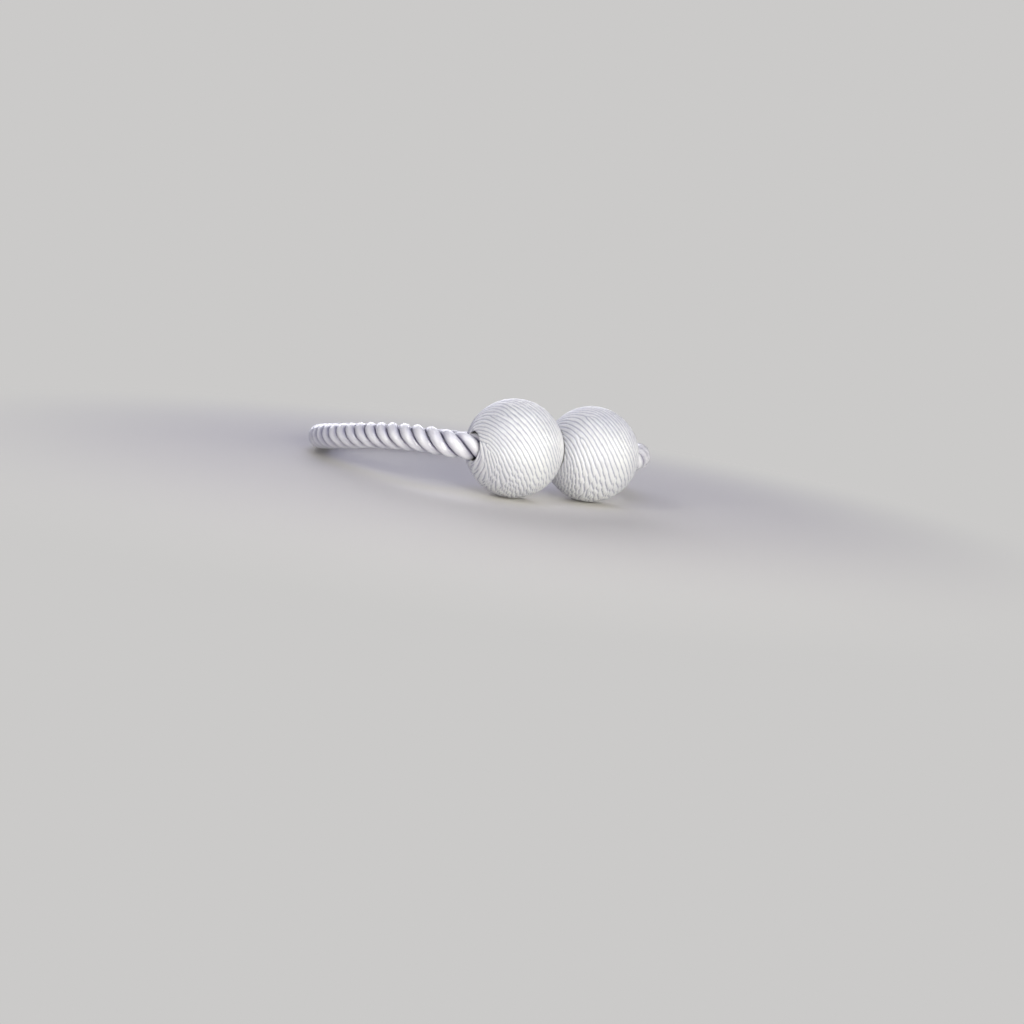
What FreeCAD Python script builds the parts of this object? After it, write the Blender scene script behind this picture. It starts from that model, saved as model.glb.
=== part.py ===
import FreeCAD, Part
import math
import os

from FreeCAD import Vector

# Magnetic curtain tie-back, in millimetres. Two cord-wound balls clasp each other by their
# magnets, and one soft rope joins them in a loop that goes round the gathered curtain.
# It lies on a surface at z = 0. The origin is on that surface, below the point where the
# magnets meet. +X runs from the left ball to the right one, +Y towards the back of the loop.

# Balls
ball_diameter = 36.0          # over the crowns of the winding
cord_width = 1.15             # one turn of the wound cord
ridge_height = 0.3            # crown of a turn above the groove between two turns
winding_clearance = 0.05      # between the plastic core and the winding
core_wall = 2.0
lip_length = 2.0              # spigot that joins the two halves of the core
lip_clearance = 0.05

# Magnets
magnet_diameter = 12.0
magnet_thickness = 5.0
magnet_chamfer = 0.3
magnet_clearance = 0.1
collar_wall = 0.9             # rim of the magnet's pocket, which also stops the winding
collar_recess = 0.2           # rim below the magnet's face
pocket_floor = 1.6
pocket_wall = 1.4

# Rope and its sockets
rope_diameter = 9.7
binding_thickness = 0.4       # tape bound round the cut end of the rope
binding_length = 6.0
socket_clearance = 0.1
socket_depth_from_centre = 5.4    # ball centre to the end of the rope
socket_wall = 1.2
socket_floor = 1.4
mouth_clearance = 1.05        # rope to the rim of the hole in the ball
mouth_flare = 2.2
first_run = 13.5              # straight length of rope that comes out of each socket

# Values worked out from those above
ball_radius = ball_diameter / 2
core_radius = ball_radius - cord_width - winding_clearance
core_inner = core_radius - core_wall
winding_inner = core_radius + winding_clearance
rope_radius = rope_diameter / 2
magnet_radius = magnet_diameter / 2
pocket_radius = magnet_radius + magnet_clearance
collar_radius = pocket_radius + collar_wall
magnet_face = math.sqrt(ball_radius ** 2 - collar_radius ** 2)
collar_face = magnet_face - collar_recess
pocket_bottom = magnet_face - magnet_thickness
lip_outer = core_radius - core_wall / 2
rebate_radius = lip_outer + lip_clearance
rebate_depth = lip_length + lip_clearance
socket_radius = rope_radius + binding_thickness + socket_clearance
mouth_radius = rope_radius + mouth_clearance
rope_end_x = magnet_face + socket_depth_from_centre
exit_point_x = rope_end_x + first_run

# Middle line of the rope, from the left socket round the loop to the right one. It bends
# back sharply where it leaves each ball, comes down to the surface and lies on it.
route = [
    (-rope_end_x, 0.0, ball_radius),
    (-exit_point_x, 0.0, ball_radius),
    (-48.6, 6.1, 17.8),
    (-57.0, 17.3, 16.7),
    (-61.3, 33.0, 14.2),
    (-61.6, 53.3, 10.3),
    (-56.8, 75.8, 6.7),
    (-46.9, 96.0, 5.0),
    (-31.6, 110.3, rope_radius),
    (-12.4, 116.1, rope_radius),
    (9.5, 115.6, rope_radius),
    (29.5, 109.7, rope_radius),
    (45.5, 96.6, 5.0),
    (56.0, 77.0, 6.9),
    (61.2, 54.5, 10.5),
    (61.4, 33.6, 14.3),
    (57.1, 17.4, 16.7),
    (48.6, 6.1, 17.8),
    (exit_point_x, 0.0, ball_radius),
    (rope_end_x, 0.0, ball_radius),
]
arc_share = 0.45              # of the shorter run at a point, used by its arc


def on_sphere(radius, distance):
    """How far along the axis a sphere has this distance from the axis."""
    return math.sqrt(radius ** 2 - distance ** 2)


def line(start, end):
    """A straight edge between two points (along the axis, out from it)."""
    return Part.LineSegment(Vector(*start, 0), Vector(*end, 0)).toShape()


def sphere_arc(radius, start, end):
    """An edge on a sphere round the origin, between two points of the profile."""
    angle = (math.atan2(start[1], start[0]) + math.atan2(end[1], end[0])) / 2
    middle = Vector(radius * math.cos(angle), radius * math.sin(angle), 0)
    return Part.Arc(Vector(*start, 0), middle, Vector(*end, 0)).toShape()


def turned(edges):
    """A solid of revolution about the X axis, from the closed profile of these edges."""
    face = Part.Face(Part.Wire(edges))
    return face.revolve(Vector(0, 0, 0), Vector(1, 0, 0), 360)


def chain(points):
    """Straight edges from each point to the next one."""
    return [line(a, b) for a, b in zip(points, points[1:])]


def magnet_half_shell():
    """Half of the hollow core: collar and pocket for the magnet, spigot at the seam."""
    seam_outer = (0, core_radius)
    collar_foot = (on_sphere(core_radius, collar_radius), collar_radius)
    boss_radius = pocket_radius + pocket_wall
    boss_foot = (on_sphere(core_inner, boss_radius), boss_radius)
    boss_end = pocket_bottom - pocket_floor
    edges = [sphere_arc(core_radius, seam_outer, collar_foot)]
    edges += chain([
        collar_foot,
        (collar_face, collar_radius),
        (collar_face, pocket_radius),
        (pocket_bottom, pocket_radius),
        (pocket_bottom, 0),
        (boss_end, 0),
        (boss_end, boss_radius),
        boss_foot,
    ])
    edges.append(sphere_arc(core_inner, boss_foot, (0, core_inner)))
    edges += chain([
        (0, core_inner),
        (-lip_length, core_inner),
        (-lip_length, lip_outer),
        (0, lip_outer),
        seam_outer,
    ])
    return turned(edges)


def rope_half_shell():
    """Half of the hollow core: socket for the rope's end, rebate for the other's spigot."""
    seam_outer = (0, core_radius)
    mouth = (-on_sphere(core_radius, mouth_radius), mouth_radius)
    tube_radius = socket_radius + socket_wall
    tube_foot = (-on_sphere(core_inner, tube_radius), tube_radius)
    socket_end = -(socket_depth_from_centre - socket_clearance)
    tube_end = socket_end + socket_floor
    rebate_foot = (-rebate_depth, on_sphere(core_inner, rebate_depth))
    edges = chain([
        seam_outer,
        (0, rebate_radius),
        (-rebate_depth, rebate_radius),
        rebate_foot,
    ])
    edges.append(sphere_arc(core_inner, rebate_foot, tube_foot))
    edges += chain([
        tube_foot,
        (tube_end, tube_radius),
        (tube_end, 0),
        (socket_end, 0),
        (socket_end, socket_radius),
        (mouth[0] + mouth_flare, socket_radius),
        mouth,
    ])
    edges.append(sphere_arc(core_radius, mouth, seam_outer))
    return turned(edges)


def magnet():
    """Plated disc magnet, pressed into its pocket with its face just proud of the rim."""
    back = pocket_bottom
    return turned(chain([
        (back, 0),
        (back, magnet_radius - magnet_chamfer),
        (back + magnet_chamfer, magnet_radius),
        (magnet_face - magnet_chamfer, magnet_radius),
        (magnet_face, magnet_radius - magnet_chamfer),
        (magnet_face, 0),
        (back, 0),
    ]))


def rope_end_binding():
    """Tape sleeve round the cut end of the rope, inside the socket."""
    start = -socket_depth_from_centre - binding_length
    outer = rope_radius + binding_thickness
    return turned(chain([
        (start, rope_radius),
        (start, outer),
        (-socket_depth_from_centre, outer),
        (-socket_depth_from_centre, rope_radius),
        (start, rope_radius),
    ]))


def thread_cover():
    """The winding: one layer of cord, laid turn by turn from the rope's hole to the collar."""
    middle = winding_inner + cord_width / 2
    collar_gap_radius = collar_radius + winding_clearance
    first = math.pi - math.asin((mouth_radius + cord_width / 2) / middle)
    last = math.asin((collar_gap_radius + cord_width / 2) / middle)
    turns = int((first - last) * middle / cord_width) + 1
    step = (first - last) / (turns - 1)
    groove_radius = ball_radius - ridge_height

    def at(radius, angle):
        return (radius * math.cos(angle), radius * math.sin(angle))

    inner_start = (-on_sphere(winding_inner, mouth_radius), mouth_radius)
    inner_end = (on_sphere(winding_inner, collar_gap_radius), collar_gap_radius)
    outside = [(-on_sphere(groove_radius, mouth_radius), mouth_radius)]
    for turn in range(turns):
        angle = first - turn * step
        outside.append(at(ball_radius, angle))
        if turn < turns - 1:
            outside.append(at(groove_radius, angle - step / 2))
    outside.append((on_sphere(groove_radius, collar_gap_radius), collar_gap_radius))
    edges = chain([inner_start] + outside + [inner_end])
    edges.append(sphere_arc(winding_inner, inner_end, inner_start))
    return turned(edges)


def rounded_path(points):
    """Straight runs joined by tangent arcs: the wire, and the radius of each arc."""
    points = [Vector(*p) for p in points]
    edges = []
    radii = []
    start = points[0]
    for before, corner, after in zip(points, points[1:], points[2:]):
        arriving = corner - before
        leaving = after - corner
        turn = arriving.getAngle(leaving)
        cut = arc_share * min(arriving.Length, leaving.Length)
        radius = cut / math.tan(turn / 2)
        arriving.normalize()
        leaving.normalize()
        arc_start = corner - arriving * cut
        arc_end = corner + leaving * cut
        inward = leaving - arriving
        inward.normalize()
        arc_middle = corner + inward * (radius / math.cos(turn / 2) - radius)
        edges.append(Part.LineSegment(start, arc_start).toShape())
        edges.append(Part.Arc(arc_start, arc_middle, arc_end).toShape())
        radii.append(radius)
        start = arc_end
    edges.append(Part.LineSegment(start, points[-1]).toShape())
    return Part.Wire(edges), radii


def rope():
    """The rope as a plain round tube along its route. Its strands aren't modelled here."""
    path, radii = rounded_path(route)
    outline = Part.Circle(Vector(*route[0]), Vector(1, 0, 0), rope_radius).toShape()
    solid = path.makePipeShell([Part.Wire([outline])], True, False)
    section = math.pi * rope_radius ** 2
    print("rope arc radii:", ", ".join(f"{r:.1f}" for r in radii))
    print(f"rope length {path.Length:.1f}, volume {solid.Volume:.0f}, "
          f"section times length {section * path.Length:.0f}")
    return solid


def placed(shape, side):
    """A piece of a ball moved to the left (-1) or right (+1) ball, magnet side inwards."""
    moved = shape.copy()
    if side > 0:
        moved.rotate(Vector(0, 0, 0), Vector(0, 0, 1), 180)
    moved.translate(Vector(side * magnet_face, 0, ball_radius))
    return moved


def main():
    os.makedirs("parts", exist_ok=True)
    nodes = {"rope": rope()}
    ball_pieces = {
        "rope_end_binding": rope_end_binding(),
        "rope_half_shell": rope_half_shell(),
        "magnet_half_shell": magnet_half_shell(),
        "magnet": magnet(),
        "thread_cover": thread_cover(),
    }
    for side, side_name in ((-1, "left"), (1, "right")):
        for piece_name, shape in ball_pieces.items():
            nodes[f"{side_name}_{piece_name}"] = placed(shape, side)
    for name, shape in nodes.items():
        print(f"{name}: valid {shape.isValid()}, solids {len(shape.Solids)}, "
              f"volume {shape.Volume:.1f}")
        shape.exportStep(f"parts/{name}.step")


main()
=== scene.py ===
import math
import random

import bmesh
import bpy
import numpy as np
from mathutils import Matrix, Vector


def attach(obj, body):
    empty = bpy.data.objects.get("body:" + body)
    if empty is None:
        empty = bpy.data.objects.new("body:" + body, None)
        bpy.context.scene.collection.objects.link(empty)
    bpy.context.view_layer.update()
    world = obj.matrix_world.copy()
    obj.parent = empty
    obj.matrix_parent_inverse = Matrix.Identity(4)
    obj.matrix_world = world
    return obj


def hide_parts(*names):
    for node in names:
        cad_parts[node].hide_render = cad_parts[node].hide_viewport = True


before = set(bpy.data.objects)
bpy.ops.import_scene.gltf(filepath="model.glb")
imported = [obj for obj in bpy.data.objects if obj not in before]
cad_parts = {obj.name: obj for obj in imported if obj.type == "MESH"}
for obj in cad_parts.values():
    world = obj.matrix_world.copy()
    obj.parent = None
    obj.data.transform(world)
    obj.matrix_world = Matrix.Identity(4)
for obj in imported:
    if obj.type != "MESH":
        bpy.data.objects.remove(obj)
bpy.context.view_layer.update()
scene = bpy.context.scene

# Magnetic curtain tie-back: two cord-wound balls that clasp each other by their magnets,
# and a three-strand satin rope that joins them in a loop. Lengths are in millimetres here
# and are turned to metres where they reach Blender.
MM = 0.001

# Balls. Each is wound with satin cord, turn beside turn, from the rope's hole to the
# magnet's collar.
BALL_RADIUS = 18.0            # over the crowns of the winding
MAGNET_FACE = 16.583          # ball centre to the plane where the two magnets meet
REST_HEIGHT = BALL_RADIUS     # ball centre over the surface that the part lies on
MOUTH_ANGLE = 17.9            # first turn, from the rope's side of the ball's axis
COLLAR_ANGLE = 154.0          # last turn, against the magnet's collar

# Wound cord
CORD_PITCH = 1.148            # from one turn to the next
CORD_HALF_WIDTH = 1.05        # more than half the pitch: neighbouring turns press together
CORD_HALF_HEIGHT = 0.5
CORD_LINE_RADIUS = BALL_RADIUS - CORD_HALF_HEIGHT
CORD_SQUARENESS = 2.6         # 2 would be an ellipse, more is a fuller turn
CORD_STATION = 0.5            # from one ring of vertices along the cord to the next
LANE = (-0.62, -0.5, -0.36, -0.2, -0.02, 0.16, 0.32, 0.46, 0.6)   # across the outside
UNDERSIDE = ((0.42, -0.4), (0.0, -0.5), (-0.42, -0.4))            # across, and height
END_RINGS = 4                 # rings over which the cord swells from its cut ends
END_SHARE = 0.3               # of its full size at the end itself

# Creases between the cord's two plies. They line up from turn to turn in slanting rows.
CREASE_POWER = 2.2            # a crease is narrow beside its two rounded crowns
PLY_CREASE = 0.30             # depth of a crease
ROW_SPACING = 3.2             # half of the cord's lay: one ply crosses the outside
ROW_ANGLE = 29.0              # between a row and the turns it crosses
BREAK_PAIRS = 5               # places where one row ends and one begins beside it
BREAK_BAND = (45, 145)        # where they fall, from the rope's side of the ball's axis
BREAK_DRIFT = 0.25            # how far apart the two are along the axis, in radians
BREAK_GAP = (0.15, 0.4)       # and about it
BREAK_SOFTNESS = 0.25         # size of a break's smooth middle, as a share
FIRM_SLIP = 0.07              # how far the turns shift the rows, as a share of a row
LOOSE_SLIP = 0.42             # and how much more on the ball's underside
LOOSE_FROM = 0.2              # height below the ball's middle where that starts, as a share
LOOSE_POWER = 0.7             # and how soon it is at its full

# Rope
ROPE_RADIUS = 4.85
ROPE_LAY = 17.3               # length in which a strand goes once round the rope
ROPE_PHASE = -0.8             # turns the strands so that their grooves fall as in the photo
ROPE_STATION = 0.7            # from one ring of vertices along the rope to the next
STRANDS = 3
LOBE_CENTRE = 1.7             # each strand's outside is an arc round this point
LOBE_RADIUS = 3.15
LOBE_STEPS = 28
STRAND_GAP = 0.05             # between a strand's flank and its neighbour's
STRAND_DEPTH = 1.5            # crown of a strand over the groove between two strands
STRAND_TUCK = 0.5             # how far the strand's edges turn in at the groove
TUCK_FROM = 0.76              # share of the arc's half where the edge starts to turn in
FLANK_SHARES = (0.62, 0.3)    # vertices down a flank, as shares of the way from the middle
LINE_STEPS = 48               # points read from the rope's line for each of its spans

# Middle line of the rope, from the left socket round the loop to the right one
ROUTE = [
    (-21.983, 0.0, 17.9),
    (-35.483, 0.1, 17.1),
    (-45.2, 9.0, 17.6),
    (-52.2, 20.9, 16.7),
    (-58.0, 36.3, 14.2),
    (-63.0, 56.0, 10.3),
    (-62.0, 78.8, 6.7),
    (-51.6, 99.0, 4.95),
    (-34.0, 111.0, ROPE_RADIUS),
    (-12.5, 115.5, ROPE_RADIUS),
    (12.5, 115.5, ROPE_RADIUS),
    (34.0, 111.0, ROPE_RADIUS),
    (51.6, 99.0, 4.95),
    (62.0, 78.8, 6.7),
    (63.0, 56.0, 10.3),
    (58.0, 36.3, 14.2),
    (52.2, 20.9, 16.7),
    (45.2, 9.0, 17.6),
    (35.483, 0.1, 17.1),
    (21.983, 0.0, 17.9),
]

# Camera, which looks past the balls from the left and a little above
CAMERA_AZIMUTH = -30.13
CAMERA_ELEVATION = 9.27
CAMERA_ROLL = 8.04
CAMERA_ASIDE = (-15.2, -22.4)     # right and up, which sets the balls' place in the frame
CAMERA_DISTANCE = 445.7
CAMERA_LENS = 42.44
CAMERA_SENSOR = 36
CAMERA_NEAREST = 10.0

# Studio: a round floor that curves up into a wall. Near the object the paint is lit, and
# seen from the camera it fades to the plain backdrop colour round it.
FLOOR_RADIUS = 1200.0
BOWL_RADIUS = 700.0
BOWL_HEIGHT = 2200.0
BOWL_STEPS = 12
FLOOR_SECTORS = 96
FLOOR_MIDDLE = 50.0           # behind the balls, near the middle of the loop
FLOOR_GAP = 0.05              # below the object, so that the two never share a plane
FADE_MIDDLE = 45.0            # behind the balls
FADE_FROM = 90.0              # distance from there where the lit paint starts to fade
FADE_TO = 240.0
LAMP_AIM = 30.0               # behind the balls
BACKDROP = "#CBCAC9"


def placed(name, data):
    """An object in the scene that holds this data."""
    holder = bpy.data.objects.new(name, data)
    scene.collection.objects.link(holder)
    return holder


def facing(azimuth, elevation, roll=0.0):
    """The turn of a camera or lamp that stands in this direction and looks back from it.
    Its columns are the camera's right, up and back."""
    a, e, r = (math.radians(v) for v in (azimuth, elevation, roll))
    back = Vector((math.sin(a) * math.cos(e), -math.cos(a) * math.cos(e), math.sin(e)))
    level = Vector((math.cos(a), math.sin(a), 0))
    upright = back.cross(level)
    right = math.cos(r) * level + math.sin(r) * upright
    up = math.cos(r) * upright - math.sin(r) * level
    return Matrix((right, up, back)).transposed().to_4x4()


def set_camera():
    """The camera at the photo's viewing angle."""
    data = bpy.data.cameras.new("camera")
    data.sensor_width = CAMERA_SENSOR
    data.lens = CAMERA_LENS
    data.clip_start = CAMERA_NEAREST * MM
    camera = placed("camera", data)
    turn = facing(CAMERA_AZIMUTH, CAMERA_ELEVATION, CAMERA_ROLL)
    place = Vector((0, 0, REST_HEIGHT)) + turn @ Vector((*CAMERA_ASIDE, CAMERA_DISTANCE))
    camera.matrix_world = Matrix.Translation(place * MM) @ turn
    scene.camera = camera


def new_curve(name, kind, places, steps=1):
    """A curve object with one open spline whose control points are these places."""
    curve = bpy.data.curves.new(name, "CURVE")
    curve.dimensions = "3D"
    curve.twist_mode = "MINIMUM"
    curve.resolution_u = steps
    spline = curve.splines.new(kind)
    spline.points.add(len(places) - 1)
    flat = np.ones((len(places), 4))
    flat[:, :3] = np.asarray(places) * MM
    spline.points.foreach_set("co", flat.ravel())
    spline.resolution_u = steps
    if kind == "NURBS":
        spline.order_u = 3
        spline.use_endpoint_u = True
    return placed(name, curve)


def drop(holder):
    """Removes a helper curve once its mesh has been read."""
    curve = holder.data
    bpy.data.objects.remove(holder)
    bpy.data.curves.remove(curve)


def smooth_line(name, route):
    """Points on the NURBS line of a route."""
    holder = new_curve(name, "NURBS", route, LINE_STEPS)
    mesh = bpy.data.meshes.new_from_object(holder)
    points = np.zeros(len(mesh.vertices) * 3)
    mesh.vertices.foreach_get("co", points)
    bpy.data.meshes.remove(mesh)
    drop(holder)
    return points.reshape(-1, 3) / MM


def along(points):
    """Distance of each point from the line's start."""
    steps = np.linalg.norm(np.diff(points, axis=0), axis=1)
    return np.concatenate([[0.0], np.cumsum(steps)])


def stations(points, spacing):
    """Points at even distances along a line."""
    length = along(points)
    even = np.linspace(0, length[-1], int(round(length[-1] / spacing)) + 1)
    return np.stack([np.interp(even, length, points[:, i]) for i in range(3)], axis=1)


def sweep(name, line, outline, tilt):
    """A mesh of the outline swept along the line, turned by the tilt at each station."""
    ring = bpy.data.curves.new(name + "_outline", "CURVE")
    ring.dimensions = "2D"
    ring.fill_mode = "NONE"
    spline = ring.splines.new("POLY")
    spline.points.add(len(outline) - 1)
    for point, (x, y) in zip(spline.points, outline):
        point.co = (x * MM, y * MM, 0, 1)
    spline.use_cyclic_u = True
    ring_holder = placed(name + "_outline", ring)
    holder = new_curve(name + "_path", "POLY", line)
    points = holder.data.splines[0].points
    points.foreach_set("tilt", np.asarray(tilt, dtype=np.float32))
    holder.data.bevel_mode = "OBJECT"
    holder.data.bevel_object = ring_holder
    evaluated = holder.evaluated_get(bpy.context.evaluated_depsgraph_get())
    mesh = bpy.data.meshes.new_from_object(evaluated)
    mesh.name = name
    drop(holder)
    drop(ring_holder)
    map_fibres(mesh, outline, along(np.asarray(line)))
    return mesh


def map_fibres(mesh, outline, length):
    """Writes the fibre map of a swept mesh, whose vertices come ring by ring: the distance
    round the outline and the distance along the line, both in millimetres."""
    count = len(outline)
    around = along(np.asarray(list(outline) + [outline[0]]))
    corner = np.zeros(len(mesh.loops), dtype=np.int64)
    mesh.loops.foreach_get("vertex_index", corner)
    ring, place = corner // count, corner % count
    faces = place.reshape(-1, 4)
    closing = (faces.min(axis=1) == 0) & (faces.max(axis=1) == count - 1)
    place = np.where(np.repeat(closing, 4) & (place == 0), count, place)
    uv = np.stack([around[place], length[ring]], axis=1)
    layer = mesh.uv_layers.get("fibre") or mesh.uv_layers.new(name="fibre")
    layer.data.foreach_set("uv", uv.ravel().astype(np.float32))
    for other in [l.name for l in mesh.uv_layers if l.name != "fibre"]:
        mesh.uv_layers.remove(mesh.uv_layers[other])
    mesh.polygons.foreach_set("use_smooth", np.ones(len(mesh.polygons), dtype=bool))


def mark_rows(mesh, rows):
    """Writes how many creases lie before each vertex: a whole number is a crown, and a
    whole number and a half is the bottom of a crease."""
    layer = mesh.attributes.new("rows", "FLOAT", "POINT")
    layer.data.foreach_set("value", np.asarray(rows, dtype=np.float32).ravel())


def joined(name, meshes):
    """One piece from several swept tubes, with their open ends filled and faces outwards."""
    bm = bmesh.new()
    for mesh in meshes:
        bm.from_mesh(mesh)
        bpy.data.meshes.remove(mesh)
    rims = [edge for edge in bm.edges if edge.is_boundary]
    bmesh.ops.holes_fill(bm, edges=rims, sides=0)
    bmesh.ops.recalc_face_normals(bm, faces=bm.faces)
    whole = bpy.data.meshes.new(name)
    bm.to_mesh(whole)
    bm.free()
    return placed(name, whole)


def strand_outline():
    """Section of one strand: a wedge of the rope with a rounded outside of soft yarns."""
    edge = math.pi / STRANDS
    rim = (LOBE_CENTRE * math.cos(edge)
           + math.sqrt(LOBE_RADIUS ** 2 - (LOBE_CENTRE * math.sin(edge)) ** 2))
    half = math.atan2(rim * math.sin(edge), rim * math.cos(edge) - LOBE_CENTRE)
    crown = []
    for i in range(LOBE_STEPS + 1):
        share = -1 + 2 * i / LOBE_STEPS
        tucked = max(0.0, (abs(share) - TUCK_FROM) / (1 - TUCK_FROM)) ** 2
        radius = LOBE_RADIUS - STRAND_TUCK * tucked
        crown.append((LOBE_CENTRE + radius * math.cos(half * share),
                      radius * math.sin(half * share)))
    flank = [(rim * share * math.cos(edge) + STRAND_GAP * math.sin(edge),
              rim * share * math.sin(edge) - STRAND_GAP * math.cos(edge))
             for share in FLANK_SHARES]
    return crown + flank + [(STRAND_GAP, 0.0)] + [(x, -y) for x, y in reversed(flank)]


def make_rope():
    """The rope: three strands swept along one line, a third of a turn apart."""
    line = stations(smooth_line("rope_route", ROUTE), ROPE_STATION)
    distance = along(line)
    outline = strand_outline()
    reach = np.array([math.hypot(x, y) for x, y in outline])
    depth = np.clip((ROPE_RADIUS - reach) / STRAND_DEPTH, 0, 1)
    strands = []
    for k in range(STRANDS):
        tilt = 2 * math.pi * distance / ROPE_LAY + 2 * math.pi * k / STRANDS + ROPE_PHASE
        strand = sweep(f"strand_{k}", line, outline, tilt)
        # The depth is written for the material, which darkens the grooves between the strands
        # with painted shade.
        mark_rows(strand, np.tile(depth ** (1 / CREASE_POWER) / 2, len(line)))
        strands.append(strand)
    rope = joined("twisted_rope", strands)
    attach(rope, "root")
    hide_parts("rope")
    return rope


def cord_outline():
    """Section of the wound cord, its rounded outside first and then its underside."""
    outside = []
    for across in LANE:
        fallen = abs(across / CORD_HALF_WIDTH) ** CORD_SQUARENESS
        outside.append((across, CORD_HALF_HEIGHT * (1 - fallen) ** (1 / CORD_SQUARENESS)))
    return outside + list(UNDERSIDE)


def on_ball(radius, theta, psi, side):
    """Places on the left (-1) or right (+1) ball, at an angle theta from the rope's side of
    the ball's axis and turned by psi about it."""
    outwards = np.stack([
        -np.cos(theta), np.sin(theta) * np.cos(psi), np.sin(theta) * np.sin(psi)], axis=-1)
    if side > 0:
        outwards = outwards * (-1, -1, 1)
    return radius * outwards + (side * MAGNET_FACE, 0, REST_HEIGHT)


def row_breaks(draw, start, end):
    """The number of rows at the winding's start, and each place where a row begins (+1) or
    ends (-1), because the turns grow towards the ball's middle and shrink after it."""
    rows_most = 2 * math.pi * CORD_LINE_RADIUS / ROW_SPACING
    first = int(rows_most * math.sin(start) + 1.5)
    last = int(rows_most * math.sin(end))
    places = [(math.asin(min(1.0, (n + 0.5) / rows_most)), 1)
              for n in range(first, int(rows_most))]
    places += [(math.pi - math.asin(min(1.0, (n + 0.5) / rows_most)), -1)
               for n in range(last, int(rows_most))]
    breaks = [(angle, draw.uniform(0, 2 * math.pi), sign) for angle, sign in places]
    for _ in range(BREAK_PAIRS):
        angle = math.radians(draw.uniform(*BREAK_BAND))
        turn = draw.uniform(0, 2 * math.pi)
        breaks.append((angle, turn, 1))
        breaks.append((angle + draw.uniform(-BREAK_DRIFT, BREAK_DRIFT),
                       turn + draw.uniform(*BREAK_GAP), -1))
    return first, breaks


def rows_before(theta, psi, first, breaks):
    """How many rows lie before each place on the ball. The ball is laid flat, which keeps
    angles, and there each break adds or takes away one spiral arm."""
    flat = np.tan(theta / 2) * np.exp(1j * psi)
    slant = -1 / math.tan(math.radians(ROW_ANGLE))
    phase = first * (psi + slant * np.log(np.abs(flat)))
    for angle, turn, sign in breaks:
        middle = math.tan(angle / 2) * complex(math.cos(turn), math.sin(turn))
        apart = flat - middle
        size = np.sqrt(np.abs(apart) ** 2 + (BREAK_SOFTNESS * abs(middle)) ** 2)
        phase = phase + sign * (np.angle(apart) + slant * np.log(size))
    return -phase / (2 * math.pi)


def shape_turns(mesh, theta, psi, side, draw):
    """Lays each ring of the swept cord in its lane on the ball: the rounded top of the turn,
    with the slanting creases between the two plies pressed into it."""
    outline = np.array(cord_outline())
    across, height = outline[None, :, 0], outline[None, :, 1]
    lane_theta = theta[:, None] + across / CORD_LINE_RADIUS
    lane_psi = np.broadcast_to(psi[:, None], lane_theta.shape)
    first, breaks = row_breaks(draw, theta[0], theta[-1])
    rows = rows_before(lane_theta, lane_psi, first, breaks)

    turn = (psi // (2 * math.pi)).astype(int)
    slip = np.array([draw.uniform(-1, 1) for _ in range(turn[-1] + 1)])[turn]
    low = np.clip(-np.sin(psi) - LOOSE_FROM, 0, 1) ** LOOSE_POWER
    rows = rows + (slip * (FIRM_SLIP + LOOSE_SLIP * low))[:, None]

    # Whole rows are added or taken away so that the count runs on without a jump, along
    # the cord and across it. The material reads the count between the vertices too.
    middle = len(LANE) // 2
    run = np.unwrap(2 * math.pi * rows[:, middle]) / (2 * math.pi)
    beside = rows - rows[:, middle:middle + 1]
    rows = run[:, None] + beside - np.round(beside)

    crease = np.abs(2 * (rows - np.round(rows))) ** CREASE_POWER
    from_start = np.arange(len(theta))
    swell = np.clip(np.minimum(from_start, from_start[::-1]) / END_RINGS, END_SHARE, 1)[:, None]
    radius = CORD_LINE_RADIUS + swell * (height - PLY_CREASE * crease * (height > 0))
    aside = theta[:, None] + swell * across / CORD_LINE_RADIUS
    points = on_ball(radius[..., None], aside, lane_psi, side)
    mesh.vertices.foreach_set("co", (points * MM).ravel())
    # The material reads these rows for the crease bump and for the painted shade in the
    # creases.
    mark_rows(mesh, rows)


def wind_ball(side, side_name, seed):
    """The winding of one ball: one cord in a spiral from the rope's hole to the collar."""
    start, end = math.radians(MOUTH_ANGLE), math.radians(COLLAR_ANGLE)
    turns = (end - start) * CORD_LINE_RADIUS / CORD_PITCH
    theta = [start]
    psi = [0.0]
    while theta[-1] < end:
        psi.append(psi[-1] + CORD_STATION / (CORD_LINE_RADIUS * math.sin(theta[-1])))
        theta.append(start + psi[-1] / (2 * math.pi) * (end - start) / turns)
    theta, psi = np.array(theta), np.array(psi)
    line = on_ball(CORD_LINE_RADIUS, theta, psi, side)
    mesh = sweep(f"{side_name}_cord", line, cord_outline(), np.zeros(len(theta)))
    shape_turns(mesh, theta, psi, side, random.Random(seed))
    winding = joined(f"{side_name}_winding", [mesh])
    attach(winding, "root")
    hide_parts(f"{side_name}_thread_cover")
    return winding


def linear(colour):
    """Linear values of an sRGB hex colour."""
    parts = [int(colour[i:i + 2], 16) / 255 for i in (1, 3, 5)]
    return tuple(p / 12.92 if p <= 0.04045 else ((p + 0.055) / 1.055) ** 2.4
                 for p in parts) + (1.0,)


def add(tree, kind, links=None, **settings):
    """Adds a node. Links hold, by socket, a value or the socket that feeds it."""
    node = tree.nodes.new(kind)
    for name, value in settings.items():
        setattr(node, name, value)
    for socket, value in (links or {}).items():
        if isinstance(value, bpy.types.NodeSocket):
            tree.links.new(value, node.inputs[socket])
        else:
            node.inputs[socket].default_value = value
    return node


def blank(name):
    """A new material and its empty tree."""
    material = bpy.data.materials.new(name)
    material.use_nodes = True
    material.node_tree.nodes.clear()
    return material, material.node_tree


def dress(piece, material):
    """Gives a piece this material and no other."""
    piece.data.materials.clear()
    piece.data.materials.append(material)
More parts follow.
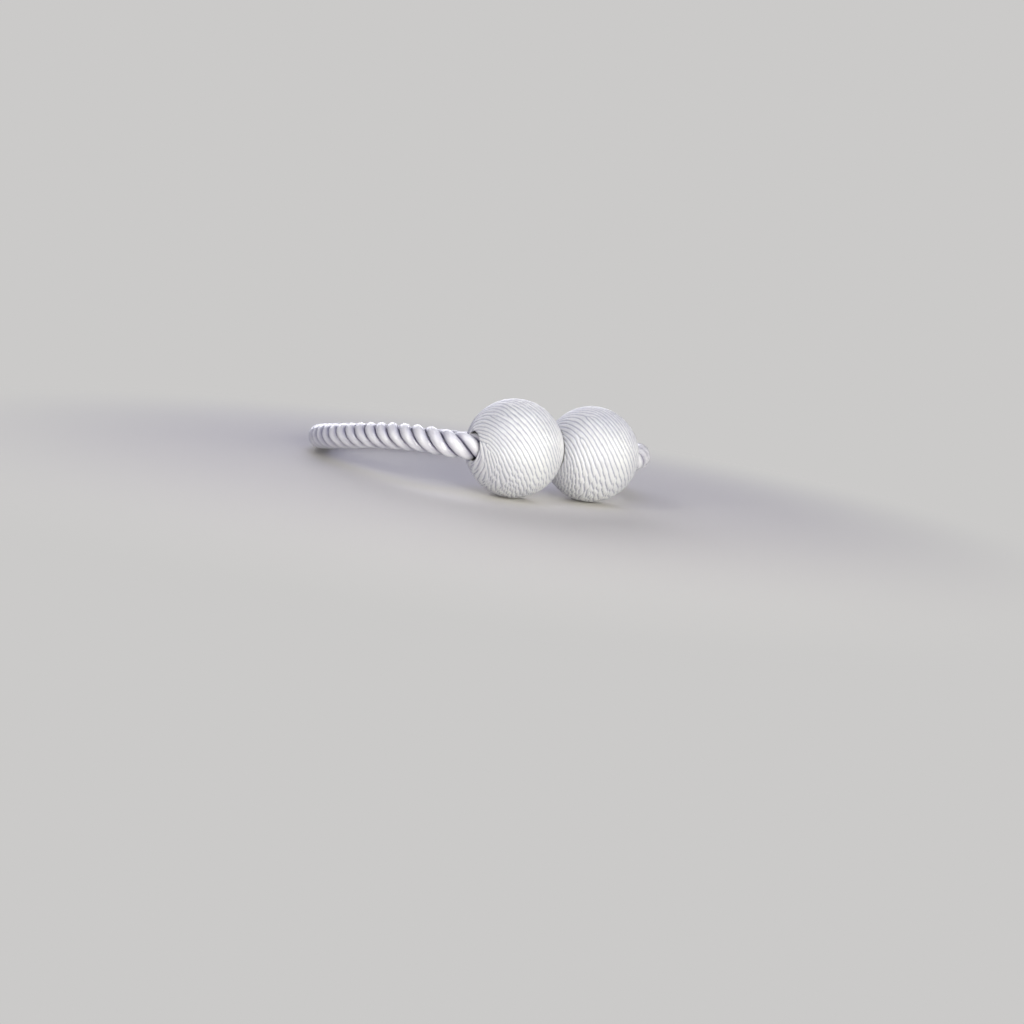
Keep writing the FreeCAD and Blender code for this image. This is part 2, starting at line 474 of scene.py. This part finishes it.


# Satin yarn is rayon: long, smooth, nearly untwisted filaments laid side by side. The eye
# sees a white silk shine that is drawn out across the filaments, faint streaks along them
# where bundles catch the light unevenly, and cool shade in the creases, where one white
# yarn lights the next. That crease shade is painted into the colour here. Rayon's
# refractive index is 1.54.
RAYON_IOR = 1.54
FILAMENT_RELIEF = 0.06        # filaments are 0.02 mm thick, too fine to show, so they are
                              # drawn as bundles and stand out like bundles
YARN_DEPTH = 0.9              # between two yarns of a strand, before its relief's share
CREASE_DEPTH = 0.2            # fine shade line at the bottom of a crease
TONE_SIZE = 11.1              # patches of slightly different tone along the yarn
SEAM_POWER = 2.5              # a seam between yarns is narrow beside their rounded tops


def satin_yarn(name, light, shade, painted_crease_shade, bundle, yarn, lean, yarn_relief, crease_relief,
               crease_from, rough, shine, spread, coat):
    """Rayon satin. The colours are those of its lighter and darker filaments and the painted
    shade in its creases. Bundle is the width and length of a streak and yarn the distance
    from yarn to yarn, in millimetres. Lean is how far the yarns move aside for each
    millimetre along the piece, and crease_from is the share of a crease's depth where its
    painted shade starts. Rough is the roughness in darker and lighter filaments."""
    material, tree = blank(name)
    fibre = add(tree, "ShaderNodeUVMap", uv_map="fibre").outputs["UV"]
    aside = add(tree, "ShaderNodeVectorMath", {
        0: fibre, 1: (1, lean, 0)}, operation="DOT_PRODUCT").outputs["Value"]
    onward = add(tree, "ShaderNodeSeparateXYZ", {0: fibre}).outputs["Y"]
    leaning = add(tree, "ShaderNodeCombineXYZ", {0: aside, 1: onward}).outputs["Vector"]
    streaks = add(tree, "ShaderNodeMapping", {
        "Vector": leaning, "Scale": (1 / bundle[0], 1 / bundle[1], 1)}).outputs["Vector"]
    filaments = add(tree, "ShaderNodeTexNoise", {
        "Vector": streaks, "Scale": 1.0, "Detail": 3.0, "Roughness": 0.6},
        noise_dimensions="2D").outputs["Fac"]

    place = add(tree, "ShaderNodeTexCoord").outputs["Object"]
    patches = add(tree, "ShaderNodeTexNoise", {
        "Vector": place, "Scale": 1 / (TONE_SIZE * MM), "Detail": 2.0}).outputs["Fac"]
    both = add(tree, "ShaderNodeMath", {0: filaments, 1: patches},
               operation="ADD").outputs[0]
    tone = add(tree, "ShaderNodeMapRange", {
        "Value": both, "From Min": 0.7, "From Max": 1.3}).outputs["Result"]
    colour = add(tree, "ShaderNodeMix", {
        "Factor": tone, 6: linear(shade), 7: linear(light)}, data_type="RGBA").outputs[2]

    # Painted shade: towards the bottom of each crease the colour darkens to the crease shade
    # colour, where shade falls.
    rows = add(tree, "ShaderNodeAttribute", attribute_name="rows").outputs["Fac"]
    apart = add(tree, "ShaderNodeMath", {0: rows, 1: 0.5}, operation="PINGPONG").outputs[0]
    twice = add(tree, "ShaderNodeMath", {0: apart, 1: 2.0}, operation="MULTIPLY").outputs[0]
    crease = add(tree, "ShaderNodeMath", {0: twice, 1: CREASE_POWER},
                 operation="POWER").outputs[0]
    painted_shade = add(tree, "ShaderNodeMapRange", {
        "Value": crease, "From Min": crease_from, "From Max": 1.0}).outputs["Result"]
    colour = add(tree, "ShaderNodeMix", {
        "Factor": painted_shade, 6: colour, 7: linear(painted_crease_shade)}, data_type="RGBA").outputs[2]
    roughness = add(tree, "ShaderNodeMapRange", {
        "Value": filaments, "From Min": 0.3, "From Max": 0.7,
        "To Min": rough[0], "To Max": rough[1]}).outputs["Result"]

    relief = add(tree, "ShaderNodeBump", {
        "Height": filaments, "Strength": 0.5,
        "Distance": FILAMENT_RELIEF * MM}).outputs["Normal"]
    across = add(tree, "ShaderNodeMath", {0: aside, 1: yarn}, operation="DIVIDE").outputs[0]
    seam = add(tree, "ShaderNodeMath", {0: across, 1: 0.5}, operation="PINGPONG").outputs[0]
    seam = add(tree, "ShaderNodeMath", {0: seam, 1: SEAM_POWER},
               operation="POWER").outputs[0]
    relief = add(tree, "ShaderNodeBump", {
        "Height": seam, "Strength": yarn_relief, "Distance": YARN_DEPTH * MM,
        "Normal": relief}, invert=True).outputs["Normal"]
    relief = add(tree, "ShaderNodeBump", {
        "Height": crease, "Strength": crease_relief, "Distance": CREASE_DEPTH * MM,
        "Normal": relief}, invert=True).outputs["Normal"]

    tangent = add(tree, "ShaderNodeTangent", direction_type="UV_MAP",
                  uv_map="fibre").outputs["Tangent"]
    shader = add(tree, "ShaderNodeBsdfPrincipled", {
        "Base Color": colour, "Roughness": roughness, "Normal": relief, "Tangent": tangent,
        "IOR": RAYON_IOR, "Specular IOR Level": shine, "Anisotropic": spread,
        "Sheen Weight": 0.25, "Sheen Roughness": 0.4,
        "Coat Weight": coat, "Coat Roughness": 0.2})
    add(tree, "ShaderNodeOutputMaterial", {"Surface": shader.outputs[0]})
    return material


# Moulding texture, the grind under the plating and the tape's weave are all 0.1 to 0.4 mm.
# They are drawn at 0.4 mm, the finest that shows in the render.
GRAIN_SIZE = 0.4
GRAIN_RELIEF = 0.03


def plain_finish(name, colour, rough, metallic=0.0):
    """An even finish with a fine grain, for what shows only in the rope's holes and in the
    gap between the balls."""
    material, tree = blank(name)
    place = add(tree, "ShaderNodeTexCoord").outputs["Object"]
    grain = add(tree, "ShaderNodeTexNoise", {
        "Vector": place, "Scale": 1 / (GRAIN_SIZE * MM), "Detail": 2.0}).outputs["Fac"]
    relief = add(tree, "ShaderNodeBump", {
        "Height": grain, "Strength": 0.25, "Distance": GRAIN_RELIEF * MM}).outputs["Normal"]
    roughness = add(tree, "ShaderNodeMapRange", {
        "Value": grain, "To Min": rough - 0.06, "To Max": rough + 0.06}).outputs["Result"]
    shader = add(tree, "ShaderNodeBsdfPrincipled", {
        "Base Color": linear(colour), "Roughness": roughness, "Metallic": metallic,
        "Normal": relief})
    add(tree, "ShaderNodeOutputMaterial", {"Surface": shader.outputs[0]})
    return material


def make_floor():
    """The studio's floor and wall, in matt paint."""
    bm = bmesh.new()
    profile = [(0.0, 0.0), (FLOOR_RADIUS / 2, 0.0), (FLOOR_RADIUS, 0.0)]
    for i in range(1, BOWL_STEPS + 1):
        angle = math.pi / 2 * i / BOWL_STEPS
        profile.append((FLOOR_RADIUS + BOWL_RADIUS * math.sin(angle),
                        BOWL_RADIUS * (1 - math.cos(angle))))
    profile.append((FLOOR_RADIUS + BOWL_RADIUS, BOWL_HEIGHT))
    corners = [bm.verts.new((x * MM, 0, z * MM)) for x, z in profile]
    edges = [bm.edges.new(pair) for pair in zip(corners, corners[1:])]
    bmesh.ops.spin(bm, geom=corners + edges, cent=(0, 0, 0), axis=(0, 0, 1),
                   angle=2 * math.pi, steps=FLOOR_SECTORS, use_merge=True)
    bmesh.ops.remove_doubles(bm, verts=bm.verts, dist=1e-6)
    bmesh.ops.translate(bm, verts=bm.verts, vec=(0, FLOOR_MIDDLE * MM, -FLOOR_GAP * MM))
    bmesh.ops.recalc_face_normals(bm, faces=bm.faces)
    mesh = bpy.data.meshes.new("studio_floor")
    bm.to_mesh(mesh)
    bm.free()
    mesh.polygons.foreach_set("use_smooth", np.ones(len(mesh.polygons), dtype=bool))
    floor = placed("studio_floor", mesh)

    # Matt paint: an even pale grey without a shine. It throws a slightly darker grey back
    # at the object than the camera sees, so that the object keeps its shade side.
    material, tree = blank("painted_studio_floor")
    place = add(tree, "ShaderNodeTexCoord").outputs["Object"]
    away = add(tree, "ShaderNodeVectorMath", {
        0: place, 1: (0, FADE_MIDDLE * MM, 0)}, operation="DISTANCE").outputs["Value"]
    far = add(tree, "ShaderNodeMapRange", {
        "Value": away, "From Min": FADE_FROM * MM, "From Max": FADE_TO * MM},
        interpolation_type="SMOOTHSTEP").outputs["Result"]
    ray = add(tree, "ShaderNodeLightPath").outputs["Is Camera Ray"]
    share = add(tree, "ShaderNodeMath", {0: far, 1: ray}, operation="MULTIPLY").outputs[0]
    colour = add(tree, "ShaderNodeMix", {
        "Factor": ray, 6: linear("#C6C4C4"), 7: linear("#D4D1CC")},
        data_type="RGBA").outputs[2]
    paint = add(tree, "ShaderNodeBsdfPrincipled", {
        "Base Color": colour, "Roughness": 0.9, "Specular IOR Level": 0.2})
    plain = add(tree, "ShaderNodeEmission", {"Color": linear(BACKDROP), "Strength": 1.0})
    mixed = add(tree, "ShaderNodeMixShader", {
        0: share, 1: paint.outputs[0], 2: plain.outputs[0]})
    add(tree, "ShaderNodeOutputMaterial", {"Surface": mixed.outputs[0]})
    dress(floor, material)


def lamp(name, azimuth, elevation, distance, size, power, colour):
    """A soft lamp that looks at the object from this direction."""
    data = bpy.data.lights.new(name, "AREA")
    data.shape = "RECTANGLE"
    data.size, data.size_y = size[0] * MM, size[1] * MM
    data.energy = power
    data.color = linear(colour)[:3]
    holder = placed(name, data)
    turn = facing(azimuth, elevation)
    place = Vector((0, LAMP_AIM, REST_HEIGHT)) + turn @ Vector((0, 0, distance))
    holder.matrix_world = Matrix.Translation(place * MM) @ turn
    holder.visible_camera = False


def sky_light(name, azimuth, elevation, spread, strength, colour):
    """An even, very soft light from one direction, as from a large window far away."""
    data = bpy.data.lights.new(name, "SUN")
    data.energy = strength
    data.angle = math.radians(spread)
    data.color = linear(colour)[:3]
    placed(name, data).matrix_world = facing(azimuth, elevation)


def set_world(colour, strength):
    """Faint even light from all sides."""
    world = bpy.data.worlds.new("studio")
    scene.world = world
    world.use_nodes = True
    world.node_tree.nodes.clear()
    sky = add(world.node_tree, "ShaderNodeBackground", {
        "Color": linear(colour), "Strength": strength})
    add(world.node_tree, "ShaderNodeOutputWorld", {"Surface": sky.outputs[0]})


set_camera()
rope = make_rope()
windings = [wind_ball(-1, "left", 11), wind_ball(1, "right", 23)]

# The rope's strands are bundles of soft yarns, about 0.8 mm each. In a strand the yarns are
# twisted against the rope, so that on its outside they run nearly along the rope.
# The grooves between its strands are darkened with painted shade.
rope_yarn = satin_yarn(
    "rayon_satin_rope_yarn", light="#F3F2F4", shade="#D6D4DE", painted_crease_shade="#77738E",
    bundle=(0.16, 12.0), yarn=0.8, lean=-1.3, yarn_relief=0.4, crease_relief=0.0,
    crease_from=0.05, rough=(0.30, 0.22), shine=1.0, spread=0.8, coat=0.25)
# The wound cord is two plies of the same satin, firmer and finer. Its filaments run along
# the cord.
# The creases between its plies are darkened with painted shade.
cord_yarn = satin_yarn(
    "rayon_satin_cord", light="#E8E8E8", shade="#D2D2D9", painted_crease_shade="#9B9AAD",
    bundle=(0.12, 3.0), yarn=0.3, lean=0.0, yarn_relief=0.1, crease_relief=0.4,
    crease_from=0.25, rough=(0.40, 0.30), shine=0.8, spread=0.85, coat=0.0)
# Moulded ABS core: hard, plain and slightly matt. Its white is painted a darker grey as painted
# shade, so it shows as a grey rim in the rope's hole.
core_plastic_with_painted_shade = plain_finish("moulded_abs_with_painted_shade", "#A9A7A6", 0.55)
# Nickel plating over a ground magnet: a slightly warm grey metal with a soft mirror.
nickel = plain_finish("nickel_plating", "#C9C5BC", 0.22, metallic=1.0)
# Unbleached cotton tape: cream and matt.
tape = plain_finish("cotton_binding_tape", "#E2DED2", 0.6)

dress(rope, rope_yarn)
for winding in windings:
    dress(winding, cord_yarn)
for name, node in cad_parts.items():
    if name.endswith("half_shell"):
        dress(node, core_plastic_with_painted_shade)
    elif name.endswith("magnet"):
        dress(node, nickel)
    elif name.endswith("binding"):
        dress(node, tape)

# Lamps stand inside the bowl, because its wall keeps out any lower light from outside.
make_floor()
lamp("key", -12, 12, distance=520, size=(150, 220), power=1.85, colour="#FFFEF2")
lamp("right", 28, 14, distance=900, size=(500, 330), power=2.6, colour="#FFFEF2")
lamp("strip", -66, 26, distance=480, size=(60, 380), power=0.65, colour="#FFFEFA")
lamp("back_fill", 165, 24, distance=1000, size=(900, 600), power=6.5, colour="#F6F6FF")
sky_light("top", 0, 80, spread=50, strength=0.45, colour="#B0B4FF")
set_world("#E2E5F8", 0.12)
scene.view_settings.view_transform = "Standard"
